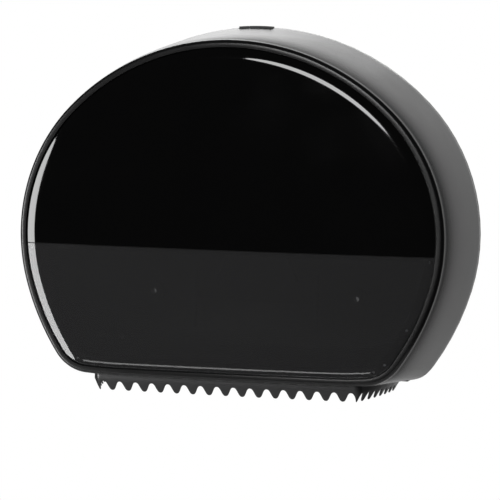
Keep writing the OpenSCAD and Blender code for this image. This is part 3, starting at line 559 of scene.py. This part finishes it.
def barStrip(v):
    cornerS = (frontLen + cornerEnd) / 2
    pitch = (pathLen - v["endGap"] - cornerS) / (v["sideTeeth"] + 0.5)
    teeth = v["frontTeeth"] + v["sideTeeth"]
    up, tip, wall = v["upright"], v["tipT"], v["wall"]
    flangeW, flangeT = v["flangeW"], v["flangeT"]
    # rows: offset inwards, depth below the joint, share of the tooth below the upright part
    rows = [(0.0, 0.0, 0.0), (0.0, up, 0.0), (0.0, up, 0.4), (0.0, up, 0.8)]  # outer face
    rows += [(0.0, up - 0.4, 1.0), (0.14, up - 0.12, 1.0), (0.4, up, 1.0)]  # rounded edge
    rows += [(tip - 0.4, up, 1.0), (tip - 0.1, up - 0.14, 1.0), (tip, up - 0.45, 1.0)]
    rows += [((wall + tip) / 2, up, 0.5), (wall, up, 0.0), (wall, flangeT, 0.0)]  # inner face
    rows += [(flangeW, flangeT, 0.0), (flangeW, 0.0, 0.0)]
    count = int((teeth + 0.5) * v["toothSteps"])
    bm = bmesh.new()
    phaseLayer = bm.verts.layers.float.new("phase")
    shareLayer = bm.verts.layers.float.new("sideShare")
    dropLayer = bm.verts.layers.float.new("dropShare")
    inLayer = bm.verts.layers.float_vector.new("inward")
    rings = []
    for j in range(-count, count + 1):
        phase = j / v["toothSteps"]
        a = abs(phase)
        beyond = a - v["frontTeeth"]
        s = a * cornerS / v["frontTeeth"] if beyond <= 0 else cornerS + beyond * pitch
        share = max(0.0, min(1.0, beyond / v["sideTeeth"]))
        ring = []
        for offset, depth, drop in rows:
            p, inward = outletPath(math.copysign(s, phase), offset)
            vert = bm.verts.new((p.x * mm, p.y * mm, (v["jointZ"] - depth) * mm))
            vert[phaseLayer], vert[shareLayer], vert[dropLayer] = phase, share, drop
            vert[inLayer] = (inward.x, inward.y, 0.0)
            ring.append(vert)
        rings.append(ring)
    n = len(rows)
    for low, high in zip(rings, rings[1:]):
        for c in range(n):
            d = (c + 1) % n
            bm.faces.new((low[c], high[c], high[d], low[d]))
    for end in (rings[0], rings[-1]):
        bm.faces.new(end)
    return addObject("tearBar", meshFrom("tearBar", bm))


def mathNode(tree, kind, a, b=None):
    node = tree.nodes.new("ShaderNodeMath")
    node.operation = kind
    for socket, value in ((0, a), (1, b)):
        if value is None:
            continue
        if isinstance(value, (int, float)):
            node.inputs[socket].default_value = value
        else:
            tree.links.new(value, node.inputs[socket])
    return node.outputs[0]


def namedAttribute(tree, name, kind="FLOAT"):
    node = tree.nodes.new("GeometryNodeInputNamedAttribute")
    node.data_type = kind
    node.inputs["Name"].default_value = name
    return [o for o in node.outputs if o.enabled][0]


def newTree(name, sizes):
    # a node tree with a Geometry socket in and out, and a named input for each size
    tree = bpy.data.node_groups.new(name, "GeometryNodeTree")
    tree.interface.new_socket("Geometry", in_out="INPUT", socket_type="NodeSocketGeometry")
    tree.interface.new_socket("Geometry", in_out="OUTPUT", socket_type="NodeSocketGeometry")
    for size in sizes:
        tree.interface.new_socket(size, in_out="INPUT", socket_type="NodeSocketFloat")
    tree.interface.new_socket("Finish", in_out="INPUT", socket_type="NodeSocketMaterial")
    return tree, tree.nodes.new("NodeGroupInput"), tree.nodes.new("NodeGroupOutput")


def closeTree(tree, groupIn, groupOut, geometry):
    real = tree.nodes.new("GeometryNodeRealizeInstances")
    tree.links.new(geometry, real.inputs["Geometry"])
    coat = tree.nodes.new("GeometryNodeSetMaterial")
    tree.links.new(real.outputs["Geometry"], coat.inputs["Geometry"])
    tree.links.new(groupIn.outputs["Finish"], coat.inputs["Material"])
    tree.links.new(coat.outputs["Geometry"], groupOut.inputs["Geometry"])


def applyTree(obj, tree, values):
    step = obj.modifiers.new(tree.name, "NODES")
    step.node_group = tree
    for item in tree.interface.items_tree:
        if item.in_out == "INPUT" and item.name in values:
            step[item.identifier] = values[item.name]
    bpy.context.view_layer.update()
    return bake(obj)


def toothTree():
    sizes = ("Reach", "Rear reach", "Tooth height", "Rear tooth height", "Upright", "Lean")
    tree, groupIn, groupOut = newTree("tearTeeth", sizes)
    out = groupIn.outputs
    phase, share = namedAttribute(tree, "phase"), namedAttribute(tree, "sideShare")
    drop, inward = namedAttribute(tree, "dropShare"), namedAttribute(tree, "inward", "FLOAT_VECTOR")

    def between(a, b):
        change = mathNode(tree, "SUBTRACT", b, a)
        return mathNode(tree, "ADD", a, mathNode(tree, "MULTIPLY", change, share))

    # a wave from 0 between the teeth to 1 at their tips, fuller than a cosine
    full = 0.3
    c = mathNode(tree, "COSINE", mathNode(tree, "MULTIPLY", phase, 2 * math.pi))
    square = mathNode(tree, "MULTIPLY", c, c)
    fuller = mathNode(tree, "SUBTRACT", 1 + full, mathNode(tree, "MULTIPLY", square, full))
    wave = mathNode(tree, "MULTIPLY_ADD", mathNode(tree, "MULTIPLY", c, fuller), 0.5)
    wave.node.inputs[2].default_value = 0.5
    height = between(out["Tooth height"], out["Rear tooth height"])
    depth = mathNode(tree, "SUBTRACT", between(out["Reach"], out["Rear reach"]),
                     mathNode(tree, "MULTIPLY", height, mathNode(tree, "SUBTRACT", 1.0, wave)))
    depth = mathNode(tree, "MULTIPLY", mathNode(tree, "SUBTRACT", depth, out["Upright"]), drop)
    span = mathNode(tree, "SUBTRACT", out["Reach"], out["Upright"])
    lean = mathNode(tree, "MULTIPLY", depth, mathNode(tree, "DIVIDE", out["Lean"], span))
    push = tree.nodes.new("ShaderNodeVectorMath")
    push.operation = "SCALE"
    tree.links.new(inward, push.inputs[0])
    tree.links.new(lean, push.inputs["Scale"])
    fall = tree.nodes.new("ShaderNodeCombineXYZ")
    tree.links.new(mathNode(tree, "MULTIPLY", depth, -1.0), fall.inputs["Z"])
    total = tree.nodes.new("ShaderNodeVectorMath")
    tree.links.new(push.outputs[0], total.inputs[0])
    tree.links.new(fall.outputs[0], total.inputs[1])
    move = tree.nodes.new("GeometryNodeSetPosition")
    tree.links.new(out["Geometry"], move.inputs["Geometry"])
    tree.links.new(total.outputs[0], move.inputs["Offset"])
    closeTree(tree, groupIn, groupOut, move.outputs["Geometry"])
    return tree


tearBar = applyTree(barStrip(bar), toothTree(), {
    "Reach": bar["reach"] * mm, "Rear reach": bar["rearReach"] * mm, "Tooth height": bar["toothH"] * mm,
    "Rear tooth height": bar["rearToothH"] * mm, "Upright": bar["upright"] * mm, "Lean": bar["lean"] * mm,
    "Finish": materials["barPlastic"]})
for share in (side * place for place in bar["earPlaces"] for side in (-1, 1)):
    spot = outletPath(share * pathLen, bar["earOffset"])[0]
    middle = Vector((spot.x, spot.y, bar["jointZ"] - bar["flangeT"] / 2)) * mm
    ear = bmesh.new()
    bmesh.ops.create_cone(ear, cap_ends=True, segments=40, radius1=bar["earR"] * mm,
                          radius2=bar["earR"] * mm, depth=(bar["flangeT"] - bar["earSink"]) * mm,
                          matrix=Matrix.Translation(middle))
    carve(tearBar, [addObject("barEar", meshFrom("barEar", ear))], "UNION")
smoothByAngle(tearBar, 40)
paint(tearBar, materials["barPlastic"])
stand(tearBar, "base", "bar_plastic", "tear_bar")
print("tear bar made")

# ---- screws ----

screwSizes = {
    "panHead": {"Head radius": 3.6, "Head height": 2.2, "Shank radius": 1.5, "Recess": 4.2},
    "smallHead": {"Head radius": 2.6, "Head height": 2.2, "Shank radius": 1.1, "Recess": 3.0},
    "lowHead": {"Head radius": 2.6, "Head height": 1.4, "Shank radius": 1.1, "Recess": 3.0},
    "camHead": {"Head radius": 3.6, "Head height": 1.6, "Shank radius": 1.1, "Recess": 4.0},
}
curvedShank = 4.2  # mm, for the screws behind the curved front
crossCut = {"width": 0.2, "depth": 1.2, "lift": 1.1}  # shares of the recess and the head's height
screwSets = [  # node, kind, direction of the head, body
    ("post_screws", "panHead", (0, -1, 0), "base"),
    ("hub_screw", "panHead", (0, -1, 0), "base"),
    ("brake_screw", "panHead", (0, -1, 0), "base"),
    ("stub_screw", "panHead", (0, -1, 0), "base"),
    ("lock_screws", "panHead", (0, -1, 0), "base"),
    ("chute_screws", "smallHead", (0, -1, 0), "base"),
    ("tear_bar_screws", "smallHead", (0, 0, 1), "base"),
    ("cam_screw", "camHead", (0, 0, -1), "lock_cam"),
    ("face_screws", "smallHead", (0, 1, 0), "cover"),
    ("keeper_screws", "lowHead", (0, 0, -1), "cover"),
]


def screwTree():
    sizes = ("Head radius", "Head height", "Shank radius", "Shank length", "Recess")
    tree, groupIn, groupOut = newTree("crossScrew", sizes)
    out, nodes, links = groupIn.outputs, tree.nodes, tree.links

    def sized(node, x, y, z):
        size = nodes.new("ShaderNodeCombineXYZ")
        for socket, value in zip(size.inputs, (x, y, z)):
            if isinstance(value, (int, float)):
                socket.default_value = value
            else:
                links.new(value, socket)
        target = "Scale" if node.bl_idname == "GeometryNodeTransform" else "Size"
        links.new(size.outputs[0], node.inputs[target])
        return node

    ball = nodes.new("GeometryNodeMeshUVSphere")
    ball.inputs["Segments"].default_value = 28
    ball.inputs["Rings"].default_value = 14
    ball.inputs["Radius"].default_value = 1.0
    radius, height = out["Head radius"], out["Head height"]
    head = sized(nodes.new("GeometryNodeTransform"), radius, radius, height)
    links.new(ball.outputs["Mesh"], head.inputs["Geometry"])
    slots = nodes.new("GeometryNodeJoinGeometry")
    width = mathNode(tree, "MULTIPLY", out["Recess"], crossCut["width"])
    depth = mathNode(tree, "MULTIPLY", height, crossCut["depth"])
    lift = nodes.new("ShaderNodeCombineXYZ")
    links.new(mathNode(tree, "MULTIPLY", height, crossCut["lift"]), lift.inputs["Z"])
    for x, y in ((out["Recess"], width), (width, out["Recess"])):
        slot = sized(nodes.new("GeometryNodeMeshCube"), x, y, depth)
        up = nodes.new("GeometryNodeTransform")
        links.new(slot.outputs["Mesh"], up.inputs["Geometry"])
        links.new(lift.outputs[0], up.inputs["Translation"])
        links.new(up.outputs["Geometry"], slots.inputs["Geometry"])
    # the slots and the half of the dome below the seat are cut away
    wide = mathNode(tree, "MULTIPLY", radius, 3.0)
    below = sized(nodes.new("GeometryNodeMeshCube"), wide, wide, height)
    drop = nodes.new("ShaderNodeCombineXYZ")
    links.new(mathNode(tree, "MULTIPLY", height, -0.5), drop.inputs["Z"])
    under = nodes.new("GeometryNodeTransform")
    links.new(below.outputs["Mesh"], under.inputs["Geometry"])
    links.new(drop.outputs[0], under.inputs["Translation"])
    cut = nodes.new("GeometryNodeMeshBoolean")
    cut.operation = "DIFFERENCE"
    cut.solver = "EXACT"
    links.new(head.outputs["Geometry"], cut.inputs["Mesh 1"])
    links.new(slots.outputs["Geometry"], cut.inputs["Mesh 2"])
    links.new(under.outputs["Geometry"], cut.inputs["Mesh 2"])
    shank = nodes.new("GeometryNodeMeshCylinder")
    shank.inputs["Vertices"].default_value = 20
    links.new(out["Shank radius"], shank.inputs["Radius"])
    links.new(out["Shank length"], shank.inputs["Depth"])
    sink = nodes.new("ShaderNodeCombineXYZ")
    links.new(mathNode(tree, "MULTIPLY", out["Shank length"], -0.5), sink.inputs["Z"])
    lower = nodes.new("GeometryNodeTransform")
    links.new(shank.outputs["Mesh"], lower.inputs["Geometry"])
    links.new(sink.outputs[0], lower.inputs["Translation"])
    whole = nodes.new("GeometryNodeJoinGeometry")
    links.new(cut.outputs["Mesh"], whole.inputs["Geometry"])
    links.new(lower.outputs["Geometry"], whole.inputs["Geometry"])
    turn = nodes.new("FunctionNodeAlignRotationToVector")
    turn.axis = "Z"
    links.new(namedAttribute(tree, "headWay", "FLOAT_VECTOR"), turn.inputs["Vector"])
    put = nodes.new("GeometryNodeInstanceOnPoints")
    links.new(out["Geometry"], put.inputs["Points"])
    links.new(whole.outputs["Geometry"], put.inputs["Instance"])
    links.new(turn.outputs["Rotation"], put.inputs["Rotation"])
    closeTree(tree, groupIn, groupOut, put.outputs["Instances"])
    return tree


def looseParts(node):
    # the box of each separate solid in a CAD node
    bm = bmesh.new()
    bm.from_mesh(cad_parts[node].data)
    bmesh.ops.remove_doubles(bm, verts=bm.verts, dist=weldGap)
    seen, parts = set(), []
    for start in bm.verts:
        if start in seen:
            continue
        seen.add(start)
        todo, island = [start], []
        while todo:
            vert = todo.pop()
            island.append(vert.co.copy())
            for edge in vert.link_edges:
                other = edge.other_vert(vert)
                if other not in seen:
                    seen.add(other)
                    todo.append(other)
        low = Vector([min(c[i] for c in island) for i in range(3)])
        high = Vector([max(c[i] for c in island) for i in range(3)])
        parts.append((low, high))
    bm.free()
    return parts


crossScrew = screwTree()
for node, kind, way, body in screwSets:
    sizes, headWay = screwSizes[kind], Vector(way)
    bm = bmesh.new()
    wayLayer = bm.verts.layers.float_vector.new("headWay")
    length = 0.0
    for low, high in looseParts(node):
        middle, half = (low + high) / 2, (high - low) / 2
        reach = abs(half.dot(headWay))
        length = 2 * reach - sizes["Head height"] * mm
        vert = bm.verts.new(middle + headWay * (reach - sizes["Head height"] * mm))
        vert[wayLayer] = way
        if node == "face_screws":  # square to the curved front
            tilt = math.asin(middle.x / (outline["bowR"] * mm))
            vert[wayLayer] = (-math.sin(tilt), math.cos(tilt), 0.0)
            vert.co.y -= sizes["Head radius"] * mm * abs(math.sin(tilt))
            length = curvedShank * mm
    name = "".join(word.capitalize() if i else word for i, word in enumerate(node.split("_")))
    screws = addObject(name, meshFrom(name, bm, recalc=False))
    values = {key: size * mm for key, size in sizes.items()}
    applyTree(screws, crossScrew, {**values, "Shank length": length, "Finish": materials["zincScrew"]})
    smoothByAngle(screws, 30)
    stand(screws, body, "screw_steel", node)
print("screws made:", len(screwSets), "sets")

# ---- the other pieces keep their CAD shapes, welded and shaded smooth ----

carried = [  # node, piece, body, slot, finish
    ("back_plate", "backPlate", "base", "base_plastic", "satinBase"),
    ("spindle_post", "spindlePost", "base", "base_plastic", "satinBase"),
    ("hub_cap", "hubCap", "base", "base_plastic", "satinBase"),
    ("brake_spring", "brakeSpring", "base", "spring_steel", "springSteel"),
    ("stub_peg", "stubPeg", "base", "base_plastic", "satinBase"),
    ("outlet_chute", "outletChute", "base", "base_plastic", "satinBase"),
    ("hinge_pins", "hingePins", "base", "spring_steel", "springSteel"),
    ("lock_housing", "lockHousing", "base", "base_plastic", "satinBase"),
    ("lock_barrel", "lockBarrel", "lock_cam", "lock_metal", "nickelLock"),
    ("cam_tongue", "camTongue", "lock_cam", "spring_steel", "springSteel"),
    ("roll_hub", "rollHub", "hub", "hub_plastic", "hubPlastic"),
    ("latch_keeper", "latchKeeper", "cover", "spring_steel", "springSteel"),
]


def carryOver(node, name, body, slot, finishName):
    bm = bmesh.new()
    bm.from_mesh(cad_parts[node].data)
    bmesh.ops.remove_doubles(bm, verts=bm.verts, dist=weldGap)
    bmesh.ops.dissolve_limit(bm, angle_limit=math.radians(0.4), verts=bm.verts, edges=bm.edges)
    obj = addObject(name, meshFrom(name, bm, recalc=False))
    smoothByAngle(obj, 30)
    paint(obj, materials[finishName])
    stand(obj, body, slot, node)


for entry in carried:
    carryOver(*entry)
print("carried over:", len(carried), "pieces")

# ---- studio ----

studio = {
    "floorPlace": (0.0, -0.1, -0.9), "floorSize": 1.2, "floorTone": (0.77, 0.83), "floorRough": 0.7,
    # the world's light all round, behind the object, its gain with height, and where that starts
    "around": 0.03, "behind": 0.85, "behindRise": 0.8, "edge": (0.84, 0.985),
    "aim": (0.0, -0.13, 0.02),
    # name, shape, place, size across and up, power, turn, mirrored; each faces the aim
    "lamps": (
        ("leftStrip", "ELLIPSE", (-2.7, -2.42, -0.56), (1.3, 2.6), 100, 10, True),
        ("topStrip", "ELLIPSE", (-0.2, -3.6, 0.46), (1.15, 0.46), 16, -10, True),
        ("lowStrip", "RECTANGLE", (-0.45, -1.9, -0.84), (1.3, 0.1), 1.6, 0, True),
        ("backPanel", "RECTANGLE", (-0.55, 2.0, 0.62), (1.3, 0.5), 2.0, 0, True),
        ("tableLight", "RECTANGLE", (0.0, -1.6, 2.4), (1.6, 1.6), 55, 0, False),
    ),
}


def makeLamps(v):
    aim = Vector(v["aim"])
    for name, shape, spot, size, power, turn, mirrored in v["lamps"]:
        data = bpy.data.lights.new(name, "AREA")
        data.shape = shape
        data.size, data.size_y = size
        data.energy = power
        lamp = bpy.data.objects.new(name, data)
        bpy.context.scene.collection.objects.link(lamp)
        lamp.visible_glossy = mirrored
        track = (aim - Vector(spot)).to_track_quat("-Z", "Y").to_matrix().to_4x4()
        rolled = track @ Matrix.Rotation(math.radians(turn), 4, "Z")
        lamp.matrix_world = Matrix.Translation(spot) @ rolled


def makeWorld(v):
    # white for the camera; for all else bright behind the object, more so upwards, and dim elsewhere
    world = bpy.data.worlds.new("studioWorld")
    world.use_nodes = True
    bpy.context.scene.world = world
    tree = world.node_tree
    nodes, links = tree.nodes, tree.links
    base = nodes["Background"]
    place = nodes.new("ShaderNodeTexCoord")
    split = nodes.new("ShaderNodeSeparateXYZ")
    links.new(place.outputs["Generated"], split.inputs[0])
    ramp = valueBetween(tree, 0.0, 1.0, split.outputs["Y"], v["edge"])
    ramp.node.interpolation_type = "SMOOTHSTEP"
    rise = mathNode(tree, "MULTIPLY", split.outputs["Z"], v["behindRise"])
    level = mathNode(tree, "MULTIPLY", mathNode(tree, "ADD", rise, v["behind"]), ramp)
    level = mathNode(tree, "ADD", level, v["around"])
    path = nodes.new("ShaderNodeLightPath")
    seen = nodes.new("ShaderNodeMix")
    links.new(path.outputs["Is Camera Ray"], seen.inputs["Factor"])
    links.new(level, seen.inputs["A"])
    seen.inputs["B"].default_value = 1.0
    base.inputs["Color"].default_value = (1.0, 1.0, 1.0, 1.0)
    links.new(seen.outputs["Result"], base.inputs["Strength"])


def makeFloor(v):
    bm = bmesh.new()
    bmesh.ops.create_grid(bm, x_segments=1, y_segments=1, size=v["floorSize"])
    floor = addObject("paleFloor", meshFrom("paleFloor", bm, recalc=False))
    floor.location = v["floorPlace"]
    mat, tree, shader = plainMaterial("paleFloor")
    grain = tree.nodes.new("ShaderNodeTexNoise")
    grain.inputs["Scale"].default_value = 3.0
    tone = valueBetween(tree, *v["floorTone"], grain.outputs["Fac"])
    tree.links.new(tone, shader.inputs["Base Color"])
    shader.inputs["Roughness"].default_value = v["floorRough"]
    paint(floor, mat)


makeLamps(studio)
makeWorld(studio)
makeFloor(studio)
bpy.context.scene.view_settings.view_transform = "Standard"
print("studio set")
